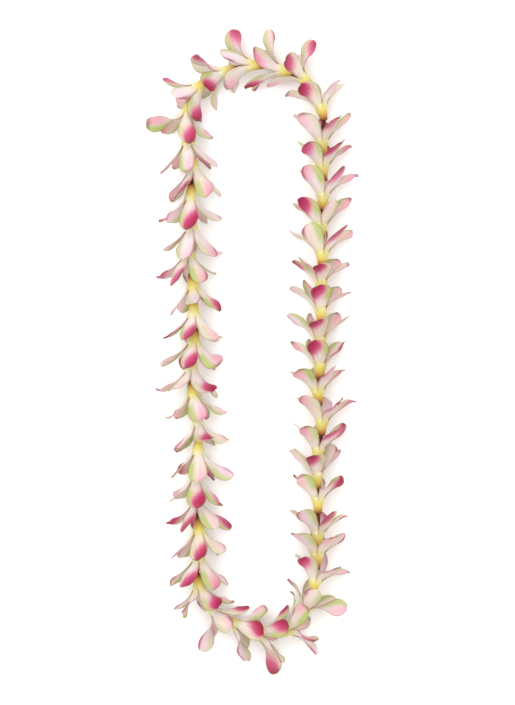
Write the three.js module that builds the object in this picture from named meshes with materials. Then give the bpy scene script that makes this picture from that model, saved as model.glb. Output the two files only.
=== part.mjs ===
// A lei of plumeria blooms, threaded nose to tail on a closed cord and laid flat.
// Units are millimetres. +Z is up from the surface that the lei lies on.
// +Y runs along the loop's long axis. The origin is on that surface, at the middle of the whole lei's box.

import * as THREE from 'three';

// The cord.
const CORD_HEIGHT = 15.5;
const CORD_RADIUS = 1.4;
const CORD_SIDES = 8;
const KNOT_AFTER_BLOOM = 34;
const KNOT_RADIUS = 2.6;
const KNOT_STATIONS = [0.15, 0.35, 0.65, 0.85];

// The tube of a bloom, which widens from its cut end to the throat where the petals part.
// Local +X is the way it opens. Places along it are measured from the bloom's origin, just inside the throat.
const TUBE_END_AT = -11;
const TUBE_MIDDLE_AT = -3.5;
const THROAT_AT = 2.5;
const TUBE_END_RADIUS = 3.2;
const TUBE_MIDDLE_RADIUS = 4.2;
const THROAT_RADIUS = 6;
const TUBE_END_BORE = 2.4;
const THROAT_BORE = 5;

// The petals.
const PETALS = 5;
const PETAL_LENGTH = 26;
const PETAL_WIDTH = 17;
const PETAL_THICKNESS = 0.8;
const LENGTH_SPREAD = [0.84, 1.08];
const WIDTH_SPREAD = [0.84, 1.02];
const PETAL_BASE_HALF_ANGLE = radians(31);
const PETAL_RISE = radians(42);

// Petals further round than this from straight up are slimmer, by shares that have a seed of their own.
const UPPER_PETAL_WITHIN = radians(53);
const SIDE_SLIMNESS = [0.66, 0.94];
const SLIMNESS_SEED = 500;

// A petal's outline: its base as a share of its full width, where it is widest, and how full its ends are.
const PETAL_BASE_SHARE = 0.5;
const PETAL_WIDEST_AT = 0.62;
const BASE_FULLNESS = 1.7;
const TIP_FULLNESS = 2;

// How a petal twists into the pinwheel, sweeps round towards its tip and crowds towards the bloom's sides.
const PETAL_TILT = radians(16);
const PETAL_SWEEP = radians(5);
const PETAL_CROWDING = radians(3);
const TILT_SPREAD = radians(11);
const SWEEP_SPREAD = radians(10);

// How a petal is cupped across, as the radius of its curve.
const CUP_RADIUS_AT_THROAT = 5.5;
const CUP_RADIUS_AT_TIP = 19;

// The share of a petal's length by which each part of its pose has come in fully.
const CROWDED_BY = 0.5;
const LEANING_BY = 0.35;
const TILTED_BY = 0.8;
const UNCUPPED_BY = 0.7;

// How far a petal has turned from the bloom's axis by its tip. A side petal opens wide, and further where
// the loop turns. An upper one leans over the next bloom, and a lower one is held in by the surface.
const FLARE_SIDE = radians(48);
const FLARE_BOTTOM = radians(41);
const FLARE_SPREAD = radians(18);
const FLARE_BY_TURN = 0.6;

// A tube lies mostly along the line from the throat before it, and partly along the line to the next.
const TUBE_FOLLOWS_BEFORE = 0.65;

// Rows of a petal's mesh between the throat and the tip, as shares of its length, and columns across it.
const PETAL_ROWS = [0.42, 0.82];
const PETAL_COLUMNS = [-1, 0, 1];
const NORMAL_STEP = 0.02;

// How the petals meet the surface that they lie on.
const PRESS_SOFTNESS = 0.6;
const CONTACT_SNAP = 0.2;

// One row for each bloom in the order of threading: its throat's X and Y, the turn of its first petal from
// straight up towards the inside of the loop, and the flare of its upper petals. Angles are in degrees.
const BLOOMS = [
  [-52.4, 189.6, 10, 17],
  [-51.6, 165.6, -12, 32],
  [-46.8, 144, 25, 37],
  [-49.6, 121.6, 0, 28],
  [-48.4, 96.8, -25, 24],
  [-50.8, 75.2, 30, 24],
  [-47.6, 50.4, -5, 67],
  [-46.8, 28, -25, 44],
  [-46.8, 6.4, -20, 38],
  [-48.4, -16, 30, 64],
  [-47.6, -35.2, 6, 28],
  [-43.6, -59.2, 5, 82],
  [-43.6, -81.6, 3, 38],
  [-46, -103.2, 5, 32],
  [-44.4, -122.4, 36, 30],
  [-42.8, -144.8, -5, 26],
  [-42.8, -167.2, 36, 24],
  [-42.8, -189.6, 28, 50],
  [-31.6, -208.8, 0, 38],
  [-14, -219.2, 12, 26],
  [5.2, -227, 30, 28],
  [28.4, -224, 32, 40],
  [42, -208, 5, 32],
  [50, -185.6, 36, 54],
  [51.6, -165, 36, 58],
  [52.4, -147.4, 36, 47],
  [52.4, -120, 36, 60],
  [51.6, -100, -1, 58],
  [52.4, -80, 31, 56],
  [55.6, -57.6, 36, 56],
  [52.4, -33.6, 36, 60],
  [54, -12.8, 3, 52],
  [54, 8, 5, 62],
  [54.8, 31.2, 0, 58],
  [54.8, 53.6, -8, 62],
  [55.6, 76.8, 26, 48],
  [54.8, 99.2, 36, 44],
  [56.4, 123.2, 28, 47],
  [56.4, 146.4, 36, 39],
  [55.6, 166.4, 36, 44],
  [54.8, 194.4, 20, 47],
  [40.4, 217.6, -10, 28],
  [21.2, 224, -15, 30],
  [-2, 228, -28, 32],
  [-24.4, 221.6, 12, 38],
  [-43.6, 209.6, -28, 28],
];

// Petals that grew larger or turn their faces further up than the rest: the bloom's number, the petal's place
// in it from 0, its flare and tilt in degrees, and its length and width.
const BROAD_PETALS = [
  [1, 4, 80, 58, 31.5, 16.5],
  [9, 1, 64, 40, 27, 17],
  [13, 1, 64, 40, 29, 15],
  [15, 1, 50, 42, 29, 15],
  [18, 4, 60, 48, 26, 16],
  [19, 4, 68, 55, 28, 16.5],
  [20, 4, 56, 55, 29, 16.5],
  [21, 3, 64, 50, 30, 16],
  [21, 4, 36, 40, 28, 16.5],
  [22, 4, 56, 45, 24, 16.5],
  [23, 4, 64, 58, 29.5, 17],
  [30, 4, 66, 34, 28, 16],
  [42, 4, 80, 50, 26, 15.5],
  [43, 4, 80, 40, 28, 15],
  [44, 4, 82, 58, 28, 16.5],
  [45, 4, 62, 40, 24, 16.5],
];

const CORD_COLOUR = '#3a1208';
const CORD_ROUGHNESS = 0.9;
const BLOOM_COLOURS = ['#f2d9dd', '#eec6d0', '#f3e3dc', '#e9b4c4'];
const BLOOM_ROUGHNESS = 0.6;

function radians(degrees) {
  return degrees * Math.PI / 180;
}

function mix(from, to, share) {
  return from + (to - from) * share;
}

// A number within the given spread, either side of nought.
function either(spread, share) {
  return mix(-spread, spread, share);
}

function smooth(from, to, value) {
  const share = Math.min(1, Math.max(0, (value - from) / (to - from)));
  return share * share * (3 - 2 * share);
}

// A repeatable stream of numbers from 0 to 1 (mulberry32).
function randomStream(seed) {
  let state = seed;
  return () => {
    state = (state + 0x6d2b79f5) | 0;
    let bits = Math.imul(state ^ (state >>> 15), 1 | state);
    bits = (bits + Math.imul(bits ^ (bits >>> 7), 61 | bits)) ^ bits;
    return ((bits ^ (bits >>> 14)) >>> 0) / 4294967296;
  };
}

// ---- Petals ----

// Angles in a bloom are measured round its axis, from straight up towards the inside of the loop.
function radial(azimuth) {
  return new THREE.Vector3(0, Math.sin(azimuth), Math.cos(azimuth));
}

function tangential(azimuth) {
  return new THREE.Vector3(0, Math.cos(azimuth), -Math.sin(azimuth));
}

function flareAt(azimuth, topFlare, turn) {
  const upright = Math.cos(azimuth) ** 2;
  const inside = Math.sin(azimuth);
  const resting = Math.cos(azimuth) > 0 ? topFlare : FLARE_BOTTOM;
  const byTurn = Math.abs(inside) * turn * FLARE_BY_TURN;
  return mix(FLARE_SIDE, resting, upright) + byTurn;
}

function makePetals(place) {
  const random = randomStream(place.number);
  const slimming = randomStream(SLIMNESS_SEED + place.number);
  const petals = [];
  for (let index = 0; index < PETALS; index += 1) {
    const azimuth = place.roll + index * 2 * Math.PI / PETALS;
    const crowding = PETAL_CROWDING * Math.sin(2 * azimuth);
    const length = PETAL_LENGTH * mix(...LENGTH_SPREAD, random());
    const upper = Math.cos(azimuth) > Math.cos(UPPER_PETAL_WITHIN);
    const slimness = upper ? 1 : mix(...SIDE_SLIMNESS, slimming());
    const width = PETAL_WIDTH * mix(...WIDTH_SPREAD, random()) * slimness;
    const flare = flareAt(azimuth, place.topFlare, place.turn) + either(FLARE_SPREAD, random());
    const sweep = PETAL_SWEEP + either(SWEEP_SPREAD, random());
    const tilt = PETAL_TILT + either(TILT_SPREAD, random());
    petals.push({ azimuth, crowding, length, width, flare, sweep, tilt });
  }
  for (const [bloom, petal, flare, tilt, length, width] of BROAD_PETALS) {
    if (bloom === place.number) {
      Object.assign(petals[petal], { flare: radians(flare), tilt: radians(tilt), length, width });
    }
  }
  return petals;
}

// Half the petal's width as a share of its greatest half width.
function outline(along) {
  if (along < PETAL_WIDEST_AT) {
    const swell = Math.sin(Math.PI / 2 * along / PETAL_WIDEST_AT) ** BASE_FULLNESS;
    return mix(PETAL_BASE_SHARE, 1, swell);
  }
  const rounding = (along - PETAL_WIDEST_AT) / (1 - PETAL_WIDEST_AT);
  return Math.sqrt(Math.max(0, 1 - rounding ** TIP_FULLNESS));
}

// The surface holds a petal up: its middle layer comes no nearer than half its thickness.
function pressed(height) {
  const lowest = PETAL_THICKNESS / 2;
  return lowest + PRESS_SOFTNESS * Math.log1p(Math.exp((height - lowest) / PRESS_SOFTNESS));
}

// A point of the petal's middle layer, with across from -1 to 1, and along from 0 at the throat to 1.
function petalPoint(petal, across, along) {
  const curl = (petal.flare - PETAL_RISE) / petal.length;
  const angle = PETAL_RISE + curl * along * petal.length;
  const azimuth = petal.azimuth + petal.crowding * smooth(0, CROWDED_BY, along) + petal.sweep * along * along;
  const middleRadius = (THROAT_RADIUS + THROAT_BORE) / 2;
  const forward = (Math.sin(angle) - Math.sin(PETAL_RISE)) / curl;
  const outward = middleRadius + (Math.cos(PETAL_RISE) - Math.cos(angle)) / curl;

  const lean = angle * smooth(0, LEANING_BY, along);
  const back = radial(azimuth).multiplyScalar(Math.cos(lean));
  back.x = -Math.sin(lean);
  const side = tangential(azimuth);
  const tilt = petal.tilt * smooth(0, TILTED_BY, along);
  const tiltedSide = side.clone().multiplyScalar(Math.cos(tilt)).addScaledVector(back, Math.sin(tilt));
  const tiltedBack = back.clone().multiplyScalar(Math.cos(tilt)).addScaledVector(side, -Math.sin(tilt));

  const cup = mix(CUP_RADIUS_AT_THROAT, CUP_RADIUS_AT_TIP, smooth(0, UNCUPPED_BY, along));
  const turn = across * petal.width / 2 * outline(along) / cup;
  const point = radial(azimuth).multiplyScalar(outward);
  point.x = THROAT_AT + forward;
  point.addScaledVector(tiltedSide, cup * Math.sin(turn));
  point.addScaledVector(tiltedBack, -cup * (1 - Math.cos(turn)));
  point.z = pressed(point.z + CORD_HEIGHT) - CORD_HEIGHT;
  return point;
}

// The direction out of the petal's back, from points a small step away on both sides.
function petalNormal(petal, across, along) {
  const row = Math.min(along, 1 - 2 * NORMAL_STEP);
  const further = petalPoint(petal, across, row + NORMAL_STEP);
  const ahead = further.sub(petalPoint(petal, across, row - NORMAL_STEP));
  const right = petalPoint(petal, across + NORMAL_STEP, row);
  const beside = right.sub(petalPoint(petal, across - NORMAL_STEP, row));
  return ahead.cross(beside).normalize();
}

// The petal's two faces at a point. What nearly touches the surface lies on it, and is flat there.
function petalFaces(petal, across, along) {
  const middle = petalPoint(petal, across, along);
  const half = petalNormal(petal, across, along).multiplyScalar(PETAL_THICKNESS / 2);
  const outer = middle.clone().add(half);
  const inner = middle.clone().sub(half);
  if (outer.z < CONTACT_SNAP - CORD_HEIGHT) {
    outer.z = -CORD_HEIGHT;
    inner.z = Math.max(inner.z, PETAL_THICKNESS - CORD_HEIGHT);
  }
  inner.z = Math.max(inner.z, -CORD_HEIGHT);
  return { outer, inner };
}

// ---- Blooms ----

// Collects vertices and outward-facing triangles.
class MeshBuilder {
  constructor() {
    this.positions = [];
    this.indices = [];
  }

  vertex(point) {
    this.positions.push(point.x, point.y, point.z);
    return this.positions.length / 3 - 1;
  }

  triangle(a, b, c) {
    this.indices.push(a, b, c);
  }

  quad(a, b, c, d) {
    this.triangle(a, b, c);
    this.triangle(a, c, d);
  }

  geometry() {
    const geometry = new THREE.BufferGeometry();
    geometry.setAttribute('position', new THREE.Float32BufferAttribute(this.positions, 3));
    geometry.setIndex(this.indices);
    geometry.computeVertexNormals();
    return geometry;
  }
}

// A ring round the bloom's axis, with two vertices for each petal: one at each edge of its base.
function tubeRing(builder, petals, forward, radius) {
  const ring = [];
  for (const petal of petals) {
    for (const edge of [-1, 1]) {
      const point = radial(petal.azimuth + edge * PETAL_BASE_HALF_ANGLE).multiplyScalar(radius);
      point.x = forward;
      ring.push(builder.vertex(point));
    }
  }
  return ring;
}

function joinRings(builder, first, second, third, fourth) {
  for (let index = 0; index < first.length; index += 1) {
    const next = (index + 1) % first.length;
    builder.quad(first[index], second[index], third[next], fourth[next]);
  }
}

function addTube(builder, petals) {
  const end = tubeRing(builder, petals, TUBE_END_AT, TUBE_END_RADIUS);
  const middle = tubeRing(builder, petals, TUBE_MIDDLE_AT, TUBE_MIDDLE_RADIUS);
  const throat = tubeRing(builder, petals, THROAT_AT, THROAT_RADIUS);
  const boreEnd = tubeRing(builder, petals, TUBE_END_AT, TUBE_END_BORE);
  const boreThroat = tubeRing(builder, petals, THROAT_AT, THROAT_BORE);
  joinRings(builder, end, middle, middle, end);
  joinRings(builder, middle, throat, throat, middle);
  joinRings(builder, boreThroat, boreEnd, boreEnd, boreThroat);
  joinRings(builder, boreEnd, end, end, boreEnd);
  return { throat, boreThroat };
}

function addRimBetweenPetals(builder, rings, index) {
  const here = 2 * index + 1;
  const next = (here + 1) % rings.throat.length;
  builder.quad(rings.throat[here], rings.boreThroat[here], rings.boreThroat[next], rings.throat[next]);
}

// The vertices of the petal's two faces at one row.
function petalRow(builder, petal, along) {
  const outer = [];
  const inner = [];
  for (const across of PETAL_COLUMNS) {
    const faces = petalFaces(petal, across, along);
    outer.push(builder.vertex(faces.outer));
    inner.push(builder.vertex(faces.inner));
  }
  return { outer, inner };
}

// The first strip widens from the throat's two vertices to a full row.
function addFirstStrip(builder, outerBase, innerBase, row) {
  const [left, right] = outerBase;
  const [leftIn, rightIn] = innerBase;
  const { outer, inner } = row;
  builder.triangle(left, outer[0], outer[1]);
  builder.triangle(left, outer[1], right);
  builder.triangle(right, outer[1], outer[2]);
  builder.triangle(leftIn, inner[1], inner[0]);
  builder.triangle(leftIn, rightIn, inner[1]);
  builder.triangle(rightIn, inner[2], inner[1]);
}

function addStrip(builder, row, next) {
  for (let column = 0; column < PETAL_COLUMNS.length - 1; column += 1) {
    const beside = column + 1;
    builder.quad(row.outer[column], next.outer[column], next.outer[beside], row.outer[beside]);
    builder.quad(row.inner[column], row.inner[beside], next.inner[beside], next.inner[column]);
  }
}

function addTip(builder, row, tip) {
  for (let column = 0; column < PETAL_COLUMNS.length - 1; column += 1) {
    builder.triangle(row.outer[column], tip.outer, row.outer[column + 1]);
    builder.triangle(row.inner[column], row.inner[column + 1], tip.inner);
  }
}

function addEdges(builder, left, right) {
  for (let index = 0; index < left.outer.length - 1; index += 1) {
    const next = index + 1;
    builder.quad(left.outer[index], left.inner[index], left.inner[next], left.outer[next]);
    builder.quad(right.outer[index], right.outer[next], right.inner[next], right.inner[index]);
  }
}

function addPetal(builder, petal, rings, index) {
  const outerBase = [rings.throat[2 * index], rings.throat[2 * index + 1]];
  const innerBase = [rings.boreThroat[2 * index], rings.boreThroat[2 * index + 1]];
  const rows = PETAL_ROWS.map((along) => petalRow(builder, petal, along));
  const tipFaces = petalFaces(petal, 0, 1);
  const tip = { outer: builder.vertex(tipFaces.outer), inner: builder.vertex(tipFaces.inner) };

  addFirstStrip(builder, outerBase, innerBase, rows[0]);
  for (let row = 0; row < rows.length - 1; row += 1) {
    addStrip(builder, rows[row], rows[row + 1]);
  }
  addTip(builder, rows[rows.length - 1], tip);

  const last = PETAL_COLUMNS.length - 1;
  const left = {
    outer: [outerBase[0], ...rows.map((row) => row.outer[0]), tip.outer],
    inner: [innerBase[0], ...rows.map((row) => row.inner[0]), tip.inner],
  };
  const right = {
    outer: [outerBase[1], ...rows.map((row) => row.outer[last]), tip.outer],
    inner: [innerBase[1], ...rows.map((row) => row.inner[last]), tip.inner],
  };
  addEdges(builder, left, right);
}

function bloomGeometry(place) {
  const builder = new MeshBuilder();
  const petals = makePetals(place);
  const rings = addTube(builder, petals);
  petals.forEach((petal, index) => {
    addPetal(builder, petal, rings, index);
    addRimBetweenPetals(builder, rings, index);
  });
  return builder.geometry();
}

// Where each bloom sits, the way it opens, and how far the loop turns to its left there.
function bloomPlaces() {
  const throats = BLOOMS.map(([x, y]) => new THREE.Vector3(x, y, CORD_HEIGHT));
  return throats.map((throat, index) => {
    const before = throats[(index + throats.length - 1) % throats.length];
    const after = throats[(index + 1) % throats.length];
    const coming = throat.clone().sub(before).normalize();
    const going = after.clone().sub(throat).normalize();
    const turn = Math.asin(coming.x * going.y - coming.y * going.x);
    const opens = going.clone().lerp(coming, TUBE_FOLLOWS_BEFORE).normalize();
    const tubeEnd = throat.clone().addScaledVector(opens, TUBE_END_AT);
    const [, , roll, topFlare] = BLOOMS[index];
    return {
      number: index + 1,
      throat,
      opens,
      tubeEnd,
      turn,
      roll: radians(roll),
      topFlare: radians(topFlare),
    };
  });
}

function makeBloom(place) {
  const material = new THREE.MeshStandardMaterial({
    color: BLOOM_COLOURS[place.number % BLOOM_COLOURS.length],
    roughness: BLOOM_ROUGHNESS,
    metalness: 0,
  });
  const bloom = new THREE.Mesh(bloomGeometry(place), material);
  bloom.name = `bloom_${String(place.number).padStart(2, '0')}`;
  bloom.position.copy(place.throat);
  bloom.rotation.z = Math.atan2(place.opens.y, place.opens.x);
  return bloom;
}

// ---- Cord ----

// The cord runs straight through each tube and turns only between one throat and the next tube.
function cordStations(places) {
  const stations = [];
  places.forEach((place) => {
    stations.push({ centre: place.tubeEnd, radius: CORD_RADIUS });
    stations.push({ centre: place.throat, radius: CORD_RADIUS });
    if (place.number === KNOT_AFTER_BLOOM) {
      const next = places[place.number].tubeEnd;
      KNOT_STATIONS.forEach((share, step) => {
        const inKnot = step > 0 && step < KNOT_STATIONS.length - 1;
        const centre = place.throat.clone().lerp(next, share);
        stations.push({ centre, radius: inKnot ? KNOT_RADIUS : CORD_RADIUS });
      });
    }
  });
  return stations;
}

function cordRing(builder, before, station, after) {
  const inward = station.centre.clone().sub(before.centre).normalize();
  const onward = after.centre.clone().sub(station.centre).normalize();
  const along = inward.add(onward).normalize();
  const up = new THREE.Vector3(0, 0, 1);
  const side = up.clone().cross(along);
  const ring = [];
  for (let step = 0; step < CORD_SIDES; step += 1) {
    const angle = step * 2 * Math.PI / CORD_SIDES;
    const point = station.centre.clone();
    point.addScaledVector(side, station.radius * Math.cos(angle));
    point.addScaledVector(up, station.radius * Math.sin(angle));
    ring.push(builder.vertex(point));
  }
  return ring;
}

function makeCord(places) {
  const builder = new MeshBuilder();
  const stations = cordStations(places);
  const count = stations.length;
  const rings = stations.map((station, index) => {
    const before = stations[(index + count - 1) % count];
    const after = stations[(index + 1) % count];
    return cordRing(builder, before, station, after);
  });
  rings.forEach((ring, index) => {
    const next = rings[(index + 1) % count];
    for (let step = 0; step < CORD_SIDES; step += 1) {
      const beside = (step + 1) % CORD_SIDES;
      builder.quad(ring[step], ring[beside], next[beside], next[step]);
    }
  });
  const material = new THREE.MeshStandardMaterial({
    color: CORD_COLOUR,
    roughness: CORD_ROUGHNESS,
    metalness: 0,
  });
  const cord = new THREE.Mesh(builder.geometry(), material);
  cord.name = 'string';
  return cord;
}

function makeLei() {
  const lei = new THREE.Group();
  const places = bloomPlaces();
  places.forEach((place) => lei.add(makeBloom(place)));
  lei.add(makeCord(places));
  return lei;
}

export default makeLei();
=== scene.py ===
import math

import bpy
import numpy as np
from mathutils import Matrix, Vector


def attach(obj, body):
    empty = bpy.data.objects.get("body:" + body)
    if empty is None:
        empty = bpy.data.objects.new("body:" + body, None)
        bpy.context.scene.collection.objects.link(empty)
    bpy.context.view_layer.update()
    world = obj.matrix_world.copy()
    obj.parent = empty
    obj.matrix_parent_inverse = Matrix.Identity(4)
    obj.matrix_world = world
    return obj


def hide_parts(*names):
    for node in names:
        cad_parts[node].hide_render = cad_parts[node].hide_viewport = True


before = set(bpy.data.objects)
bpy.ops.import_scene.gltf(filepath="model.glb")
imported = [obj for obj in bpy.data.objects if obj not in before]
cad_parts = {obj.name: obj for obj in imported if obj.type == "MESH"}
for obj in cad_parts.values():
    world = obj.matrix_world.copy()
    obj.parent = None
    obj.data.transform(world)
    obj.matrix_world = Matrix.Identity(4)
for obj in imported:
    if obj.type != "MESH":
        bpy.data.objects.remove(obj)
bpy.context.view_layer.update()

# Lengths are in millimetres until a mesh is made, and angles in radians unless a name says degrees.
MM = 0.001

# The cord and the blooms' tubes, as in the solids.
CORD_HEIGHT = 15.5
TUBE_END_AT = -11
TUBE_MIDDLE_AT = -3.5
THROAT_AT = 2.5
TUBE_END_RADIUS = 3.2
TUBE_MIDDLE_RADIUS = 4.2
THROAT_RADIUS = 6.0
TUBE_END_BORE = 2.4
THROAT_BORE = 5.0
TUBE_FOLLOWS_BEFORE = 0.65

# The petals' pose, as in the solids.
PETALS = 5
PETAL_LENGTH = 26.0
PETAL_WIDTH = 17
LENGTH_SPREAD = (0.84, 1.08)
WIDTH_SPREAD = (0.84, 1.02)
SIDE_SLIMNESS = (0.66, 0.94)
UPPER_PETAL_WITHIN = math.radians(53)
SLIMNESS_SEED = 500
PETAL_RISE = math.radians(42)
PETAL_BASE_SHARE = 0.5
PETAL_WIDEST_AT = 0.62
PETAL_TILT = math.radians(16)
PETAL_SWEEP = math.radians(5)
PETAL_CROWDING = math.radians(3)
TILT_SPREAD = math.radians(11)
SWEEP_SPREAD = math.radians(10)
CUP_RADIUS_AT_THROAT = 5.5
CUP_RADIUS_AT_TIP = 19
CROWDED_BY = 0.5
LEANING_BY = 0.35
TILTED_BY = 0.8
UNCUPPED_BY = 0.7
FLARE_SIDE = math.radians(48)
FLARE_BOTTOM = math.radians(41)
FLARE_SPREAD = math.radians(18)
FLARE_BY_TURN = 0.6
PRESS_SOFTNESS = 0.6

# What the finer petals add: a base that overlaps its neighbour in a spiral, and a foot that rises out of
# the tube. Places along a petal run from 0 at the throat to 1 at the tip, and are negative within the tube.
FOOT_AT = -0.24
FOOT_CLEAR_AT = -0.03
FOOT_SUNK_BY = 1.0
SPIRAL_TILT = math.radians(10)
SPIRAL_ENDS_AT = 0.4
FINE_FULLNESS = 1.15
FINE_THICKNESS = 0.62
FINE_ROWS = 26
FINE_COLUMNS = 15
ROWS_CROWD_TO_TIP = 1.5
COLUMNS_CROWD_TO_EDGE = 0.8 * math.pi / 2
NORMAL_STEP = 0.02

# Where the finer petals thin out towards the side edges and the tip, and the least height of a front that
# faces up from the floor, in half thicknesses.
EDGE_THINNING = 0.62
THINS_ACROSS = (0.6, 1)
THINS_ALONG = (0.85, 1)
FRONT_ABOVE_FLOOR = 1.2

# Their relief: where across and along a petal each feature comes in, and its measure.
ROLLS_ACROSS = (0.4, 1)
ROLLS_ALONG = (0.25, 0.8)
RIPPLES_COME_IN_ACROSS = (0.5, 1)
RIPPLES_COME_IN_ALONG = (0.15, 0.55)
RIPPLES_ALONG = 1.9
RIPPLES_ACROSS = 0.2
TIP_CURLS_ALONG = (0.78, 1)
MIDRIB_DEPTH = 0.22
MIDRIB_HALF_WIDTH = 0.12
MIDRIB_COMES_IN = (0.05, 0.3)
MIDRIB_GOES_OUT = (0.75, 1)

# How one finer petal differs from the next: the seed of its draws, and the least and the most of each.
DRESS_SEED = 1000
GOLDEN_SPREAD = (-0.05, 0.05)
UPPER_TIP_FULLNESS = (1.8, 2.1)
SIDE_TIP_FULLNESS = (1.35, 2.0)
UPPER_TIP_CURL = (-1.1, 1.9)
SIDE_TIP_CURL = (-1.6, 2.8)
TIP_POINT = (0.5, 0.78)
ROLL_BACK = (0.3, 1.9)
RIPPLE_DEPTH = (0.12, 0.4)

# The finer tube: points (forward, radius) from the lip back along the outside to the cut end, and from there
# up the bore and out along the funnel of the throat.
TUBE_OUTSIDE = [
    (2.4, 5.55),
    (1.2, 5.5),
    (-0.4, 5.1),
    (-2.0, 4.6),
    (-3.8, 4.15),
    (-5.8, 3.75),
    (-7.8, 3.4),
    (-9.6, 3.1),
    (-10.6, 2.95),
    (-11.0, 2.75),
]
TUBE_INSIDE = [
    (-11.0, 2.4),
    (-10.6, 2.2),
    (-8.5, 2.3),
    (-5.0, 2.4),
    (-2.6, 2.6),
    (-1.0, 3.1),
    (0.4, 3.9),
    (1.6, 4.8),
    (2.4, 5.4),
]
TUBE_SIDES = 40

# Its flutes: their depth, how far they twist by the cut end, and the shares of the depth that are left at
# the throat and in the bore.
FLUTE_DEPTH = 0.16
FLUTE_TWIST = 3.0
FLUTES_AT_THROAT = 0.35
FLUTES_INSIDE = 0.4

# One row for each bloom in the order of threading: its throat's X and Y, the turn of its first petal in
# degrees from straight up towards the inside of the loop, and the flare of its upper petals in degrees.
BLOOMS = [
    (-52.4, 189.6, 10, 17),
    (-51.6, 165.6, -12, 32),
    (-46.8, 144, 25, 37),
    (-49.6, 121.6, 0, 28),
    (-48.4, 96.8, -25, 24),
    (-50.8, 75.2, 30, 24),
    (-47.6, 50.4, -5, 67),
    (-46.8, 28, -25, 44),
    (-46.8, 6.4, -20, 38),
    (-48.4, -16, 30, 64),
    (-47.6, -35.2, 6, 28),
    (-43.6, -59.2, 5, 82),
    (-43.6, -81.6, 3, 38),
    (-46, -103.2, 5, 32),
    (-44.4, -122.4, 36, 30),
    (-42.8, -144.8, -5, 26),
    (-42.8, -167.2, 36, 24),
    (-42.8, -189.6, 28, 50),
    (-31.6, -208.8, 0, 38),
    (-14, -219.2, 12, 26),
    (5.2, -227, 30, 28),
    (28.4, -224, 32, 40),
    (42, -208, 5, 32),
    (50, -185.6, 36, 54),
    (51.6, -165, 36, 58),
    (52.4, -147.4, 36, 47),
    (52.4, -120, 36, 60),
    (51.6, -100, -1, 58),
    (52.4, -80, 31, 56),
    (55.6, -57.6, 36, 56),
    (52.4, -33.6, 36, 60),
    (54, -12.8, 3, 52),
    (54, 8, 5, 62),
    (54.8, 31.2, 0, 58),
    (54.8, 53.6, -8, 62),
    (55.6, 76.8, 26, 48),
    (54.8, 99.2, 36, 44),
    (56.4, 123.2, 28, 47),
    (56.4, 146.4, 36, 39),
    (55.6, 166.4, 36, 44),
    (54.8, 194.4, 20, 47),
    (40.4, 217.6, -10, 28),
    (21.2, 224, -15, 30),
    (-2, 228, -28, 32),
    (-24.4, 221.6, 12, 38),
    (-43.6, 209.6, -28, 28),
]

# Petals that grew larger or turn their faces further up than the rest: the bloom's number, the petal's place
# in it from 0, its flare and tilt in degrees, and its length and width.
BROAD_PETALS = [
    (1, 4, 80, 58, 31.5, 16.5),
    (9, 1, 64, 40, 27, 17),
    (13, 1, 64, 40, 29, 15),
    (15, 1, 50, 42, 29, 15),
    (18, 4, 60, 48, 26, 16),
    (19, 4, 68, 55, 28, 16.5),
    (20, 4, 56, 55, 29, 16.5),
    (21, 3, 64, 50, 30, 16),
    (21, 4, 36, 40, 28, 16.5),
    (22, 4, 56, 45, 24, 16.5),
    (23, 4, 64, 58, 29.5, 17),
    (30, 4, 66, 34, 28, 16),
    (42, 4, 80, 50, 26, 15.5),
    (43, 4, 80, 40, 28, 15),
    (44, 4, 82, 58, 28, 16.5),
    (45, 4, 62, 40, 24, 16.5),
]

# How strongly the deep pink shows on the petals where it stands out, by bloom and petal.
BLUSH = {
    1: {0: 0.85},
    3: {4: 0.9},
    4: {0: 1.0},
    6: {4: 0.8},
    8: {0: 0.85},
    9: {0: 0.9},
    10: {0: 0.9},
    12: {0: 1.0},
    14: {0: 1.0},
    15: {1: 0.8, 4: 0.85},
    16: {0: 0.85},
    17: {0: 0.35, 4: 0.9},
    18: {0: 0.9, 4: 0.3},
    19: {1: 0.9},
    20: {0: 0.9},
    21: {0: 0.9, 3: 0.85},
    22: {4: 0.55},
    24: {0: 0.8, 4: 0.3},
    26: {4: 0.9},
    28: {0: 0.9},
    29: {4: 0.85},
    30: {4: 0.6},
    31: {4: 0.3},
    32: {0: 0.9},
    33: {0: 0.9},
    34: {0: 0.9},
    35: {0: 0.9},
    36: {4: 0.85},
    37: {0: 1.0},
    38: {4: 0.6},
    39: {4: 1.0, 0: 0.6},
    40: {4: 0.6},
    41: {0: 0.85},
    42: {0: 0.7, 4: 0.8},
    43: {1: 0.8},
    44: {4: 0.8},
    45: {0: 0.85, 4: 0.8},
    46: {1: 0.8},
}

# Petals whose one edge is plainly green.
GREEN_EDGES = {2: 0, 11: 0, 9: 1, 18: 4, 22: 0}

# Blooms whose throats and tubes are paler than the rest.
PALE_TUBES = {3, 5, 8, 10, 12, 14, 15, 19, 43, 45}
PALENESS = 0.1

# Above this draw a side petal is marked with the deep pink, between the two strengths given. The other
# petals' faint pink stays below the last.
BLUSH_ABOVE = 0.79
BLUSH_MARKED = (0.4, 0.95)
BLUSH_FAINT = 0.3


def mix(a, b, share):
    return a + (b - a) * share


def smooth(low, high, value):
    share = np.clip((value - low) / (high - low), 0, 1)
    return share * share * (3 - 2 * share)


def random_stream(seed):
    """A repeatable stream of numbers from 0 to 1 (mulberry32), the same as the solids use."""
    word = 2**32
    state = seed

    def draw():
        nonlocal state
        state = (state + 0x6D2B79F5) % word
        bits = (state ^ (state >> 15)) * (1 | state) % word
        bits = ((bits + (bits ^ (bits >> 7)) * (61 | bits)) % word) ^ bits
        return (bits ^ (bits >> 14)) / word

    return draw


# ---- Where the blooms sit ----


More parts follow.
